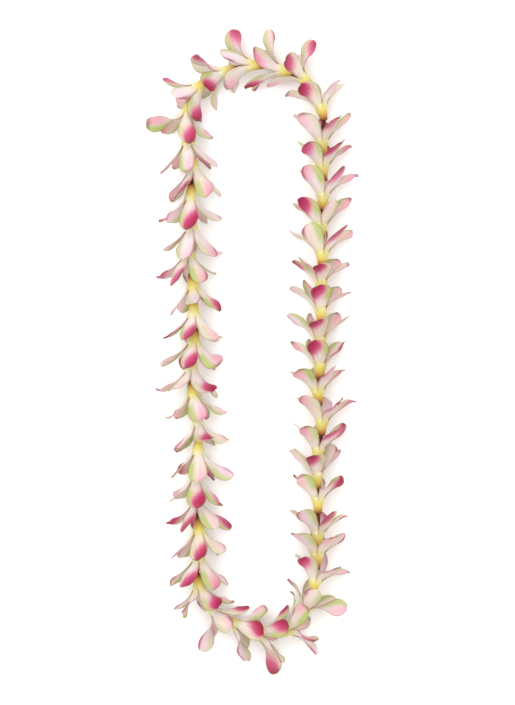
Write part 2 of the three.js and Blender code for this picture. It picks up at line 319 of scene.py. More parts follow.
def bloom_places():
    throats = [np.array((x, y)) for x, y, _, _ in BLOOMS]
    places = []
    for index, throat in enumerate(throats):
        coming = throat - throats[index - 1]
        going = throats[(index + 1) % len(throats)] - throat
        coming = coming / np.linalg.norm(coming)
        going = going / np.linalg.norm(going)
        opens = mix(going, coming, TUBE_FOLLOWS_BEFORE)
        opens = opens / np.linalg.norm(opens)
        _, _, roll, top_flare = BLOOMS[index]
        places.append(
            {
                "number": index + 1,
                "throat": throat,
                "opens": opens,
                "turn": math.asin(coming[0] * going[1] - coming[1] * going[0]),
                "roll": math.radians(roll),
                "top_flare": math.radians(top_flare),
            }
        )
    return places


def flare_at(azimuth, top_flare, turn):
    resting = top_flare if math.cos(azimuth) > 0 else FLARE_BOTTOM
    by_turn = abs(math.sin(azimuth)) * turn * FLARE_BY_TURN
    return mix(FLARE_SIDE, resting, math.cos(azimuth) ** 2) + by_turn


def make_petals(place):
    random = random_stream(place["number"])
    slimming = random_stream(SLIMNESS_SEED + place["number"])
    petals = []
    for index in range(PETALS):
        azimuth = place["roll"] + index * math.tau / PETALS
        upper = math.cos(azimuth) > math.cos(UPPER_PETAL_WITHIN)
        length = PETAL_LENGTH * mix(*LENGTH_SPREAD, random())
        slimness = 1 if upper else mix(*SIDE_SLIMNESS, slimming())
        petals.append(
            {
                "azimuth": azimuth,
                "upper": upper,
                "crowding": PETAL_CROWDING * math.sin(2 * azimuth),
                "length": length,
                "width": PETAL_WIDTH * mix(*WIDTH_SPREAD, random()) * slimness,
                "flare": flare_at(azimuth, place["top_flare"], place["turn"])
                + mix(-FLARE_SPREAD, FLARE_SPREAD, random()),
                "sweep": PETAL_SWEEP + mix(-SWEEP_SPREAD, SWEEP_SPREAD, random()),
                "tilt": PETAL_TILT + mix(-TILT_SPREAD, TILT_SPREAD, random()),
            }
        )
    for bloom, petal, flare, tilt, length, width in BROAD_PETALS:
        if bloom == place["number"]:
            petals[petal].update(
                flare=math.radians(flare), tilt=math.radians(tilt), length=length, width=width, upper=True
            )
    dress_petals(place["number"], petals)
    return petals


def chance_blush(upper, draw):
    """Most petals are pale, and about a fifth of the side ones are marked with the deep pink."""
    if upper or draw < BLUSH_ABOVE:
        return BLUSH_FAINT * draw * draw
    return mix(*BLUSH_MARKED, (draw - BLUSH_ABOVE) / (1 - BLUSH_ABOVE))


def dress_petals(number, petals):
    """Adds what only the finer petals have: their colours' strengths, and how their edges and tips curl."""
    random = random_stream(DRESS_SEED + number)
    strong = BLUSH.get(number, {})
    golden = mix(*GOLDEN_SPREAD, random()) - (PALENESS if number in PALE_TUBES else 0)
    for index, petal in enumerate(petals):
        upper = petal["upper"]
        petal["tip_fullness"] = mix(*(UPPER_TIP_FULLNESS if upper else SIDE_TIP_FULLNESS), random())
        petal["golden"] = golden
        petal["blush"] = strong.get(index, chance_blush(upper, random()))
        petal["green"] = 1.0 if GREEN_EDGES.get(number) == index else random()
        petal["seed"] = random()
        petal["warmth"] = random()
        petal["ageing"] = random()
        petal["roll_back"] = mix(*ROLL_BACK, random())
        petal["ripple"] = mix(*RIPPLE_DEPTH, random())
        petal["ripple_at"] = random()
        petal["tip_curl"] = mix(*(UPPER_TIP_CURL if upper else SIDE_TIP_CURL), random())
        petal["tip_point"] = TIP_POINT[0] if upper else mix(*TIP_POINT, petal["ripple_at"])


# ---- The petals' surface ----


def radial(azimuth):
    return np.stack([np.zeros_like(azimuth), np.sin(azimuth), np.cos(azimuth)], -1)


def tangential(azimuth):
    return np.stack([np.zeros_like(azimuth), np.cos(azimuth), -np.sin(azimuth)], -1)


def outline(petal, along):
    """Half the petal's width as a share of its greatest half width."""
    swell = np.sin(math.pi / 2 * np.clip(along, 0, PETAL_WIDEST_AT) / PETAL_WIDEST_AT)
    rounding = np.clip((along - PETAL_WIDEST_AT) / (1 - PETAL_WIDEST_AT), 0, 1)
    body = mix(PETAL_BASE_SHARE, 1, swell**FINE_FULLNESS)
    return body * np.maximum(0, 1 - rounding ** petal["tip_fullness"]) ** petal["tip_point"]


def pressed(height, lowest):
    return lowest + PRESS_SOFTNESS * np.log1p(np.exp((height - lowest) / PRESS_SOFTNESS))


def wall_radius(forward):
    """The middle of the tube's wall."""
    stations = (TUBE_END_AT, TUBE_MIDDLE_AT, THROAT_AT)
    outer = np.interp(forward, stations, (TUBE_END_RADIUS, TUBE_MIDDLE_RADIUS, THROAT_RADIUS))
    bore = np.interp(forward, (TUBE_END_AT, THROAT_AT), (TUBE_END_BORE, THROAT_BORE))
    return (outer + bore) / 2


def petal_middle(petal, across, along):
    """Points of the petal's middle layer: across from -1 to 1, and along from its foot to 1 at the tip."""
    out = np.maximum(along, 0)
    foot = np.minimum(along, 0)
    curl = (petal["flare"] - PETAL_RISE) / petal["length"]
    angle = PETAL_RISE + curl * out * petal["length"]
    forward = THROAT_AT + (np.sin(angle) - math.sin(PETAL_RISE)) / curl + foot * petal["length"]
    in_wall = wall_radius(forward) - FOOT_SUNK_BY * (1 - smooth(FOOT_AT, FOOT_CLEAR_AT, along))
    opened = wall_radius(THROAT_AT) + (math.cos(PETAL_RISE) - np.cos(angle)) / curl
    outward = np.where(along > 0, opened, in_wall)
    azimuth = petal["azimuth"] + petal["crowding"] * smooth(0, CROWDED_BY, out)
    azimuth = azimuth + petal["sweep"] * out * out

    lean = angle * smooth(0, LEANING_BY, out)
    back = radial(azimuth) * np.cos(lean)[..., None]
    back[..., 0] = -np.sin(lean)
    side = tangential(azimuth)
    spiral = SPIRAL_TILT * (1 - smooth(0, SPIRAL_ENDS_AT, out)) * smooth(FOOT_AT, 0, along)
    tilt = (petal["tilt"] * smooth(0, TILTED_BY, out) + spiral)[..., None]
    tilted_side = side * np.cos(tilt) + back * np.sin(tilt)
    tilted_back = back * np.cos(tilt) - side * np.sin(tilt)

    cup = mix(CUP_RADIUS_AT_THROAT, CUP_RADIUS_AT_TIP, smooth(0, UNCUPPED_BY, out))
    cup = np.where(along < 0, outward, cup)
    half_width = petal["width"] / 2 * outline(petal, along)
    turn = across * half_width / np.where(along < 0, CUP_RADIUS_AT_THROAT, cup)
    points = radial(azimuth) * outward[..., None]
    points[..., 0] = forward
    points = points + tilted_side * (cup * np.sin(turn))[..., None]
    return points - tilted_back * (cup * (1 - np.cos(turn)))[..., None]


def relief(petal, across, along):
    """How far the finer petal stands off its smooth form towards its back: a rolled edge, a ripple, the
    tip's curl and the midrib."""
    rolled = petal["roll_back"] * smooth(*ROLLS_ACROSS, across) * smooth(*ROLLS_ALONG, along)
    wave = np.sin(math.tau * (RIPPLES_ALONG * along + petal["ripple_at"] + RIPPLES_ACROSS * across))
    near_edge = smooth(*RIPPLES_COME_IN_ACROSS, np.abs(across)) * smooth(*RIPPLES_COME_IN_ALONG, along)
    tip = petal["tip_curl"] * smooth(*TIP_CURLS_ALONG, along) ** 2
    midrib = MIDRIB_DEPTH * np.exp(-((across / MIDRIB_HALF_WIDTH) ** 2))
    midrib = midrib * smooth(*MIDRIB_COMES_IN, along) * (1 - smooth(*MIDRIB_GOES_OUT, along))
    return rolled + petal["ripple"] * wave * near_edge + tip - midrib


def petal_normals(petal, across, along):
    """Which way the smooth form's back faces, from points a step to each side of each one."""
    step = NORMAL_STEP
    row = np.minimum(along, 1 - 2 * step)
    ahead = petal_middle(petal, across, row + step) - petal_middle(petal, across, row - step)
    beside = petal_middle(petal, across + step, row) - petal_middle(petal, across - step, row)
    normals = np.cross(ahead, beside)
    return normals / np.linalg.norm(normals, axis=-1, keepdims=True)


def petal_faces(petal, across, along):
    """The back and the front of the petal, thin at its edges, and held up by the surface that it lies on."""
    normals = petal_normals(petal, across, along)
    middle = petal_middle(petal, across, along) + normals * relief(petal, across, along)[..., None]
    near_edge = np.maximum(smooth(*THINS_ACROSS, np.abs(across)), smooth(*THINS_ALONG, along))
    half = FINE_THICKNESS / 2 * (1 - EDGE_THINNING * near_edge)
    back = middle + normals * half[..., None]
    front = middle - normals * half[..., None]
    back[..., 2] = pressed(back[..., 2] + CORD_HEIGHT, 0) - CORD_HEIGHT
    front[..., 2] = pressed(front[..., 2] + CORD_HEIGHT, FRONT_ABOVE_FLOOR * half) - CORD_HEIGHT
    return back, front


# ---- Meshes ----


class MeshBuilder:
    """Collects points with their marks, and faces. A mark is (across, along, inside), a tint is
    (blush, green, seed) and a trait is (golden, warmth, ageing), which the petal material reads."""

    def __init__(self):
        self.points = []
        self.marks = []
        self.tints = []
        self.traits = []
        self.faces = []
        self.count = 0

    def add(self, points, marks=(0, 0, 0), tint=(0, 0, 0), trait=(0, 0, 0)):
        points = np.asarray(points, float)
        flat = points.reshape(-1, 3)
        self.points.append(flat)
        for store, values in ((self.marks, marks), (self.tints, tint), (self.traits, trait)):
            store.append(np.broadcast_to(np.asarray(values, float), points.shape).reshape(-1, 3))
        indices = np.arange(self.count, self.count + len(flat)).reshape(points.shape[:-1])
        self.count += len(flat)
        return indices

    def grid(self, indices, flipped=False, closed=False):
        """Quads between neighbouring rows and columns of a grid of points, round it if it is closed."""
        if closed:
            indices = np.concatenate([indices, indices[:, :1]], 1)
        a, b = indices[:-1, :-1], indices[1:, :-1]
        c, d = indices[1:, 1:], indices[:-1, 1:]
        order = (a, d, c, b) if flipped else (a, b, c, d)
        self.faces += np.stack(order, -1).reshape(-1, 4).tolist()

    def fan(self, ring, middle, flipped=False):
        for first, second in zip(ring[:-1], ring[1:]):
            face = [int(first), int(middle), int(second)]
            self.faces.append(face[::-1] if flipped else face)

    def build(self, name, matrix=None):
        points = np.concatenate(self.points)
        if matrix is not None:
            points = points @ matrix[:3, :3].T + matrix[:3, 3]
        mesh = bpy.data.meshes.new(name)
        mesh.from_pydata((points * MM).tolist(), [], self.faces)
        for label, values in (("mark", self.marks), ("tint", self.tints), ("trait", self.traits)):
            attribute = mesh.attributes.new(label, "FLOAT_VECTOR", "POINT")
            attribute.data.foreach_set("vector", np.concatenate(values).astype(np.float32).ravel())
        mesh.shade_smooth()
        mesh.validate()
        piece = bpy.data.objects.new(name, mesh)
        bpy.context.scene.collection.objects.link(piece)
        return piece


def petal_grid():
    """Where the petal's rows and columns lie, closer together towards the tip and the edges."""
    steps = np.linspace(0, 1, FINE_ROWS)
    along = FOOT_AT + (1 - FOOT_AT) * (1 - (1 - steps) ** ROWS_CROWD_TO_TIP)
    spread = np.linspace(-1, 1, FINE_COLUMNS)
    across = np.sin(spread * COLUMNS_CROWD_TO_EDGE) / math.sin(COLUMNS_CROWD_TO_EDGE)
    return np.meshgrid(along[:-1], across, indexing="ij")


def add_petal(builder, petal):
    v, u = petal_grid()
    back, front = petal_faces(petal, u, v)
    tip_back, tip_front = petal_faces(petal, np.zeros(1), np.ones(1))
    tint = (petal["blush"], petal["green"], petal["seed"])
    trait = (petal["golden"], petal["warmth"], petal["ageing"])

    backs = builder.add(back, np.stack([u, v, np.zeros_like(u)], -1), tint, trait)
    fronts = builder.add(front, np.stack([u, v, np.ones_like(u)], -1), tint, trait)
    tips = builder.add(np.concatenate([tip_back, tip_front]), [[0, 1, 0], [0, 1, 1]], tint, trait)
    builder.grid(backs)
    builder.grid(fronts, flipped=True)
    builder.fan(backs[-1], tips[0])
    builder.fan(fronts[-1], tips[1], flipped=True)

    for column, flipped in ((0, True), (-1, False)):
        edge = np.stack([backs[:, column], fronts[:, column]], 1)
        builder.grid(edge, flipped=flipped)
        last = [int(backs[-1, column]), int(fronts[-1, column]), int(tips[1]), int(tips[0])]
        builder.faces.append(last if flipped else last[::-1])
    builder.grid(np.stack([fronts[0], backs[0]], 0))


def add_tube(builder, place, petals):
    angles = np.linspace(0, math.tau, TUBE_SIDES, endpoint=False)
    profile = [(*point, 0) for point in TUBE_OUTSIDE] + [(*point, 1) for point in TUBE_INSIDE]
    points, marks = [], []
    for forward, radius, inside in profile:
        towards_end = smooth(THROAT_AT, TUBE_END_AT, forward)
        flutes = FLUTE_DEPTH * np.cos(PETALS * (angles - place["roll"]) + FLUTE_TWIST * towards_end)
        flutes = flutes * mix(FLUTES_AT_THROAT, 1, towards_end) * (FLUTES_INSIDE if inside else 1)
        ring = radial(angles) * (radius + flutes)[:, None]
        ring[:, 0] = forward
        points.append(ring)
        along = (forward - THROAT_AT) / PETAL_LENGTH
        marks.append(np.tile((0.0, along, inside), (TUBE_SIDES, 1)))
    tint = (0, 0, petals[0]["seed"])
    trait = (petals[0]["golden"], 0, 0)
    indices = builder.add(np.array(points), np.array(marks), tint, trait)
    builder.grid(np.concatenate([indices, indices[:1]]), closed=True, flipped=True)


def make_bloom(place, material):
    petals = make_petals(place)
    builder = MeshBuilder()
    add_tube(builder, place, petals)
    for petal in petals:
        add_petal(builder, petal)
    x, y = place["opens"]
    matrix = np.array(
        [
            [x, -y, 0, place["throat"][0]],
            [y, x, 0, place["throat"][1]],
            [0, 0, 1, CORD_HEIGHT],
            [0, 0, 0, 1],
        ]
    )
    node = f"bloom_{place['number']:02d}"
    piece = builder.build(f"{node}_petals", matrix)
    piece.data.materials.append(material)
    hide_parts(node)
    return piece


# ---- The cord ----

UP = np.array((0.0, 0.0, 1.0))

STRANDS = 3
STRAND_BLUNTNESS = 0.7
GROOVE_RADIUS_SHARE = 0.8

ROPE_RADIUS = 1.8
ROPE_TWIST = 7.5
ROPE_SIDES = 18
ROPE_STEP = 0.9
ROPE_SMOOTHINGS = 3

# The rope is a little thicker and thinner by turns: a draw after every so many steps.
SLUB_SEED = 4
SLUB_EVERY = 12
SLUB_SPREAD = (0.93, 1.06)

# The knot's trefoil: its reach, how wide its loops swing, and how far it is drawn together along the loop
# and across it.
KNOT_AFTER_BLOOM = 34
KNOT_REACH = 1.3
KNOT_SWING = 1.3
KNOT_DRAWN_ALONG = 0.75
KNOT_DRAWN_ACROSS = 0.62
KNOT_CORD_RADIUS = 1.15
KNOT_STATIONS = 61
KNOT_SIDES = 12

# From one station of the knot's cord to the next: how far its strands turn, and its marks' step along it.
KNOT_CORD_TWIST = 0.45
KNOT_CORD_SHARE = 0.01

# The shares of its radius that the knot's cord narrows to at its ends, and a line that it never starts
# along.
ROUNDED_ENDS = (0.55, 0.9)
OFF_THE_LINE = (0.3, 0.2, 0.93)

# The knot's two cut ends leave its sides, rise and droop.
TAIL_RADIUS = 0.62
TAIL_LENGTH = 3.6
TAIL_STATIONS = 9
TAIL_STARTS_OUT = 0.8
TAIL_STARTS_UP = 1.2
TAIL_SPREAD = 1.1
TAIL_SLANT = 0.5
TAIL_RISE = 0.75
TAIL_DROOP = 0.16


def cord_path(places):
    """Evenly spaced points of the closed line that the cord follows, and its length."""
    corners = []
    for place in places:
        corners.append(place["throat"] + place["opens"] * TUBE_END_AT)
        corners.append(place["throat"])
    corners = np.array(corners + corners[:1])
    lengths = np.linalg.norm(np.diff(corners, axis=0), axis=1)
    at = np.concatenate([[0], np.cumsum(lengths)])
    count = int(at[-1] / ROPE_STEP)
    wanted = np.linspace(0, at[-1], count, endpoint=False)
    path = np.stack([np.interp(wanted, at, corners[:, axis]) for axis in (0, 1)], 1)
    for _ in range(ROPE_SMOOTHINGS):
        path = (np.roll(path, 1, 0) + 2 * path + np.roll(path, -1, 0)) / 4
    return path, at[-1]


def sides_of(path):
    """The level direction square to a closed path at each of its points."""
    heading = np.roll(path, -1, 0) - np.roll(path, 1, 0)
    heading = heading / np.linalg.norm(heading, axis=1, keepdims=True)
    return np.stack([-heading[:, 1], heading[:, 0], np.zeros(len(path))], 1)


def strand_section(phase, share):
    """The share of the cord's radius that its strands reach, and their marks: the strand, the share of the
    way along the cord, and the height of the strand's lobe, which is 0 in a groove."""
    lobes = np.abs(np.cos(STRANDS / 2 * phase)) ** STRAND_BLUNTNESS
    marks = np.stack([phase / math.tau * STRANDS, np.broadcast_to(share, phase.shape), lobes], -1)
    return mix(GROOVE_RADIUS_SHARE, 1, lobes), marks


def add_rope(builder, path, radius, sides, turns):
    """A twisted rope along a flat closed path, whose section has a lobe for each strand."""
    count = len(path)
    centres = np.concatenate([path, np.full((count, 1), CORD_HEIGHT)], 1)
    angles = np.linspace(0, math.tau, sides, endpoint=False)
    share = (np.arange(count) / count)[:, None]
    slubs_at = np.arange(0, count + SLUB_EVERY, SLUB_EVERY)
    slubs = np.random.default_rng(SLUB_SEED).uniform(*SLUB_SPREAD, len(slubs_at))
    thickness = radius * np.interp(np.arange(count), slubs_at, slubs)
    reach, marks = strand_section(angles - math.tau * turns * share, share)
    ring_radius = thickness[:, None] * reach
    points = (
        centres[:, None, :]
        + sides_of(path)[:, None, :] * (ring_radius * np.cos(angles))[..., None]
        + UP * (ring_radius * np.sin(angles))[..., None]
    )
    indices = builder.add(points, marks)
    builder.grid(np.concatenate([indices, indices[:1]]), closed=True, flipped=True)


def add_cord_along(builder, centres, radius, sides=KNOT_SIDES):
    """A length of the same cord with rounded ends, along any open line."""
    centres = np.array(centres, float)
    heading = np.gradient(centres, axis=0)
    heading = heading / np.linalg.norm(heading, axis=1, keepdims=True)
    side = np.cross(heading[0], OFF_THE_LINE)
    angles = np.linspace(0, math.tau, sides, endpoint=False)
    rings, marks = [], []
    for index, (centre, towards) in enumerate(zip(centres, heading)):
        side = side - towards * side.dot(towards)
        side = side / np.linalg.norm(side)
        above = np.cross(towards, side)
        from_end = min(index, len(centres) - 1 - index)
        rounding = ROUNDED_ENDS[from_end] if from_end < len(ROUNDED_ENDS) else 1
        phase = angles + index * KNOT_CORD_TWIST
        reach, ring_marks = strand_section(phase, index * KNOT_CORD_SHARE)
        round_the_line = side * np.cos(angles)[:, None] + above * np.sin(angles)[:, None]
        rings.append(centre + (radius * rounding * reach)[:, None] * round_the_line)
        marks.append(ring_marks)
    indices = builder.add(np.array(rings), np.array(marks))
    builder.grid(indices, closed=True, flipped=True)
    for ring, centre, flipped in ((indices[0], centres[0], False), (indices[-1], centres[-1], True)):
        middle = builder.add([centre])[0]
        builder.fan(np.append(ring, ring[0]), middle, flipped=flipped)


def add_knot(builder, places):
    """A trefoil of the same cord drawn tight round the loop, with two short cut ends."""
    here = places[KNOT_AFTER_BLOOM - 1]["throat"]
    after = places[KNOT_AFTER_BLOOM]
    there = after["throat"] + after["opens"] * TUBE_END_AT
    towards = np.append((there - here) / np.linalg.norm(there - here), 0)
    across = np.array((-towards[1], towards[0], 0))
    middle = np.append((here + there) / 2, CORD_HEIGHT)
    along_reach = KNOT_REACH * KNOT_DRAWN_ALONG
    across_reach = KNOT_REACH * KNOT_DRAWN_ACROSS
    trefoil = [
        middle
        + towards * (math.sin(3 * t) * along_reach)
        + across * ((math.sin(t) + KNOT_SWING * math.sin(2 * t)) * across_reach)
        + UP * ((math.cos(t) - KNOT_SWING * math.cos(2 * t)) * across_reach)
        for t in np.linspace(0, math.tau, KNOT_STATIONS)
    ]
    add_cord_along(builder, trefoil, KNOT_CORD_RADIUS)
    for sign in (-1, 1):
        tail = [
            middle
            + towards * (sign * TAIL_SLANT * s)
            + across * (sign * (TAIL_STARTS_OUT + TAIL_SPREAD * s))
            + UP * (TAIL_STARTS_UP + TAIL_RISE * s - TAIL_DROOP * s * s)
            for s in np.linspace(0, TAIL_LENGTH, TAIL_STATIONS)
        ]
        add_cord_along(builder, tail, TAIL_RADIUS)


def make_cord(places, material):
    builder = MeshBuilder()
    path, length = cord_path(places)
    add_rope(builder, path, ROPE_RADIUS, ROPE_SIDES, round(length / ROPE_TWIST))
    add_knot(builder, places)
    piece = builder.build("cord_with_knot")
    piece.data.materials.append(material)
    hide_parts("string")
    return piece


# ---- Materials ----

PETAL_REFLECTS = 0.84


def linear(red, green, blue):
    """A colour given as 0 to 255 a channel in sRGB, as the linear values that nodes take."""

    def channel(value):
        value = value / 255
        return value / 12.92 if value <= 0.04045 else ((value + 0.055) / 1.055) ** 2.4

    return (channel(red), channel(green), channel(blue), 1.0)


def paint(red, green, blue):
    """The same, for a colour as a petal shows it in full light, of which it sends back only a share."""
    return tuple(PETAL_REFLECTS * value for value in linear(red, green, blue)[:3]) + (1.0,)


# The petal's ground colour from the tube's cut end to the tip, at shares of the way between two places along
# the petal. Its browns at the cut end are partly the tube's own tan and partly painted shade, where the end
# sits in the mouth of the bloom before.
GROUND_ENDS = (-0.7, 1.0)
GROUND_WITH_TUBE_END_SHADE = [
    (0.08, paint(104, 54, 26)),
    (0.13, paint(150, 92, 48)),
    (0.172, paint(202, 148, 76)),
    (0.214, paint(222, 188, 88)),
    (0.265, paint(234, 216, 104)),
    (0.35, paint(239, 230, 144)),
    (0.43, paint(242, 236, 198)),
    (0.53, paint(242, 235, 230)),
    (0.75, paint(240, 230, 235)),
    (1.0, paint(238, 221, 228)),
]
THROAT_GOLD = paint(232, 166, 56)
CREAM = paint(246, 233, 202)
PINK_WASH = paint(238, 170, 184)
STRAW_GREEN = paint(184, 198, 122)
FADING_PINK = paint(216, 112, 148)
DEEP_PINKS = (paint(174, 32, 74), paint(190, 36, 100))
# The darkest pink at the petals' tips: partly deeper dye, partly painted shade.
DARKEST_PINK_AND_TIP_SHADE = paint(136, 14, 54)
# Rims that are partly the petals' own edge colours and partly painted shade.
ROSE_RIM_AND_SHADE = paint(176, 84, 94)
OLIVE_RIM_AND_SHADE = paint(156, 152, 92)
# Painted shade of a fold, in crimson, on petals that have no fold in their mesh.
CRIMSON_FOLD_SHADE = paint(150, 44, 66)
AGED_BROWN = paint(122, 70, 52)
# Painted shade where petals overlap near the throat.
SEAM_SHADE_BROWN = paint(178, 134, 82)
VEIN_PINK = linear(222, 150, 168)
MOTTLE_BROWN = linear(200, 176, 150)

CORD_BROWNS = [(0.3, linear(46, 14, 8)), (0.52, linear(84, 32, 16)), (0.72, linear(128, 62, 34))]
# Painted shade in the grooves between the cord's strands.
CORD_GROOVE_SHADE = linear(30, 8, 5)
FLOOR_WHITE = (0.97, 0.97, 0.97, 1)


class Nodes:
    """A material's node tree, with short ways to add what the materials use."""

    def __init__(self, name):
        self.material = bpy.data.materials.new(name)
        self.material.use_nodes = True
        self.tree = self.material.node_tree
        self.shader = self.tree.nodes["Principled BSDF"]

    def new(self, kind, **settings):
        node = self.tree.nodes.new(kind)
        for name, value in settings.items():
            setattr(node, name, value)
        return node

    def put(self, socket, value):
        if isinstance(value, bpy.types.NodeSocket):
            self.tree.links.new(value, socket)
        else:
            socket.default_value = value

    def math(self, operation, a, b=0.0, clamp=False):
        node = self.new("ShaderNodeMath", operation=operation, use_clamp=clamp)
        self.put(node.inputs[0], a)
        self.put(node.inputs[1], b)
        return node.outputs[0]

    def plus(self, a, b, clamp=False):
        return self.math("ADD", a, b, clamp)

    def minus(self, a, b):
        return self.math("SUBTRACT", a, b)

    def times(self, a, b, clamp=False):
        return self.math("MULTIPLY", a, b, clamp)

    def ease(self, value, low, high, start=0.0, end=1.0):
        """start at low, end at high, and a smooth step between."""
        node = self.new("ShaderNodeMapRange", interpolation_type="SMOOTHSTEP")
        for socket, number in zip(node.inputs, (value, low, high, start, end)):
            self.put(socket, number)
        return node.outputs[0]

    def blend(self, share, a, b, mode="MIX"):
        node = self.new("ShaderNodeMix", data_type="RGBA", blend_type=mode)
        self.put(node.inputs[0], share)
        self.put(node.inputs[6], a)
        self.put(node.inputs[7], b)
        return node.outputs[2]

    def layer(self, under, mask, colour, strength=1.0, mode="MIX"):
        """A colour over the one under it, where the mask shows it and at the given strength."""
        share = mask if strength == 1.0 else self.times(mask, strength)
        return self.blend(share, under, colour, mode)

    def ramp(self, value, stops):
        node = self.new("ShaderNodeValToRGB")
        node.color_ramp.interpolation = "B_SPLINE"
        elements = node.color_ramp.elements
        while len(elements) < len(stops):
            elements.new(1.0)
        for element, (at, colour) in zip(elements, stops):
            element.position = at
            element.color = colour
        self.put(node.inputs[0], value)
        return node.outputs[0]

    def noise(self, vector, scale, detail=2.0, roughness=0.5):
        node = self.new("ShaderNodeTexNoise")
        self.put(node.inputs["Vector"], vector)
        self.put(node.inputs["Scale"], scale)
        self.put(node.inputs["Detail"], detail)
        self.put(node.inputs["Roughness"], roughness)
        return node.outputs[0]

    def vector(self, *values):
        node = self.new("ShaderNodeCombineXYZ")
        for socket, value in zip(node.inputs, values):
            self.put(socket, value)
        return node.outputs[0]

    def object_place(self):
        return self.new("ShaderNodeTexCoord").outputs["Object"]

    def marks(self, name):
        read = self.new("ShaderNodeAttribute", attribute_name=name)
        split = self.new("ShaderNodeSeparateXYZ")
        self.put(split.inputs[0], read.outputs["Vector"])
        return split.outputs

    def bump(self, height, strength, distance, normal=None):
        node = self.new("ShaderNodeBump")
        self.put(node.inputs["Height"], height)
        self.put(node.inputs["Strength"], strength)
        self.put(node.inputs["Distance"], distance)
        if normal is not None:
            self.put(node.inputs["Normal"], normal)
        return node.outputs[0]

    def surface(self, inputs):
        """Links or sets the shader's inputs, by their names."""
        for name, value in inputs.items():
            self.put(self.shader.inputs[name], value)


class PetalNodes(Nodes):
    """The petal's node tree with the marks that its layers read, and two soft disturbances of them: one in
    patches, and one drawn out along the petal."""

    def __init__(self):
        super().__init__("petal")
        self.across, self.along, self.inside = self.marks("mark")
        self.blush, self.green, self.seed = self.marks("tint")
        self.golden, self.warmth, self.ageing = self.marks("trait")
        self.off_middle = self.math("ABSOLUTE", self.across)
        self.place = self.object_place()

        self.patches = self.minus(self.noise(self.place, 130.0, 3.0), 0.5)
        streaks = self.minus(self.noise(self.drawn_out(3.2, 1.3, 40.0), 2.6, 4.0, 0.6), 0.5)
        self.wander = self.plus(self.times(self.patches, 0.35), self.times(streaks, 0.9))
        self.side = self.plus(self.across, self.times(self.wander, 0.5))
        self.up = self.plus(self.along, self.times(self.wander, 0.2))

    def drawn_out(self, across, along, seed):
        """A place on the petal for a noise, with the scale of each part. The seed tells petals apart."""
        return self.vector(
            self.times(self.across, across), self.times(self.along, along), self.times(self.seed, seed)
        )


def ground_colour(n):
    """Brown and gold from the tube's cut end, pale to the petal's tip, and golden in the throat. The brown
    at the cut end is partly the tube's own colour and partly painted shade.
    """
    start, end = GROUND_ENDS
    shifted = n.minus(n.minus(n.up, start), n.golden)
    ground = n.ramp(n.times(shifted, 1 / (end - start)), GROUND_WITH_TUBE_END_SHADE)
    throat = n.times(n.inside, n.ease(n.along, 0.3, -0.05))
    return n.layer(ground, throat, THROAT_GOLD, strength=0.8)


def cream_and_pink_wash(n, under):
    """Some petals are creamier, and most carry a wash of pink, stronger on the side of the deep pink."""
    cream = n.times(n.ease(n.warmth, 0.35, 0.9), n.ease(n.up, 0.1, 0.35))
    under = n.layer(under, cream, CREAM, strength=0.5)
    wash = n.times(n.ease(n.up, 0.2, 0.75), n.ease(n.side, -0.8, 0.5, 0.15, 1.0))
    amount = n.plus(n.times(n.ageing, 0.75), 0.15)
    amount = n.plus(amount, n.times(n.blush, 0.35), clamp=True)
    return n.layer(under, n.times(wash, amount), PINK_WASH)


def green_margin(n, under):
    """A margin between green and straw on the side away from the deep pink."""
    margin = n.times(n.ease(n.side, 0.1, -0.7), n.ease(n.up, 0.1, 0.5))
    amount = n.plus(n.times(n.green, 0.85), 0.32)
    return n.layer(under, n.times(margin, amount, clamp=True), STRAW_GREEN)


def deep_pink(n, under):
    """Full at the tip and along one side, and fading slowly towards the base. The darkest pink at the tip is
    partly deeper dye and partly painted shade, where the petal curves away from the light.
    """
    reach = n.plus(n.along, n.times(n.across, 0.3))
    reach = n.plus(reach, n.times(n.wander, 0.12))
    deep = n.times(n.ease(reach, 0.16, 1.0), n.ease(n.across, -1.25, -0.1))
    deep = n.times(deep, n.minus(1.0, n.times(n.inside, 0.25)))
    deep = n.times(deep, n.blush)
    under = n.layer(under, n.ease(deep, 0.0, 0.6), FADING_PINK)
    under = n.layer(under, n.ease(deep, 0.28, 0.92), n.blend(n.seed, *DEEP_PINKS))
    # The darkest pink towards the tip, partly painted shade.
    return n.layer(under, n.times(deep, n.ease(reach, 0.8, 1.15)), DARKEST_PINK_AND_TIP_SHADE, strength=0.8)


def edges(n, under):
    """A rim of dull rose or olive that is partly the petal's own edge colour and partly painted shade where
    the edge turns away, a crimson line of painted shade for a fold on the petals that have aged least, and a
    brown point on those that have aged most."""
    # The rim: partly edge colour, partly painted shade.
    rim_and_shade = n.times(n.ease(n.off_middle, 0.82, 1.0), n.ease(n.along, 0.12, 0.4))
    rim_and_shade_colour = n.blend(n.ease(n.warmth, 0.4, 0.6), ROSE_RIM_AND_SHADE, OLIVE_RIM_AND_SHADE)
    under = n.layer(under, rim_and_shade, rim_and_shade_colour, strength=0.55)
    # Painted shade: a crimson line where a fold would be, though the petal's mesh has no fold.
    fold_shade = n.times(n.ease(n.side, 0.5, 0.95), n.ease(n.ageing, 0.3, 0.2))
    fold_shade = n.times(fold_shade, n.ease(n.along, 0.3, 0.7))
    under = n.layer(under, fold_shade, CRIMSON_FOLD_SHADE, strength=0.8)
    point = n.times(n.ease(n.up, 0.82, 1.0), n.ease(n.ageing, 0.35, 0.7))
    return n.layer(under, point, AGED_BROWN, strength=0.75)


def painted_seam_shade(n, under):
    """Where petals overlap near the throat, the seam between them is darkened with painted shade."""
    seam_shade_mask = n.times(n.ease(n.off_middle, 0.64, 1.0), n.ease(n.along, 0.6, 0.05))
    return n.layer(under, seam_shade_mask, SEAM_SHADE_BROWN, strength=0.6)


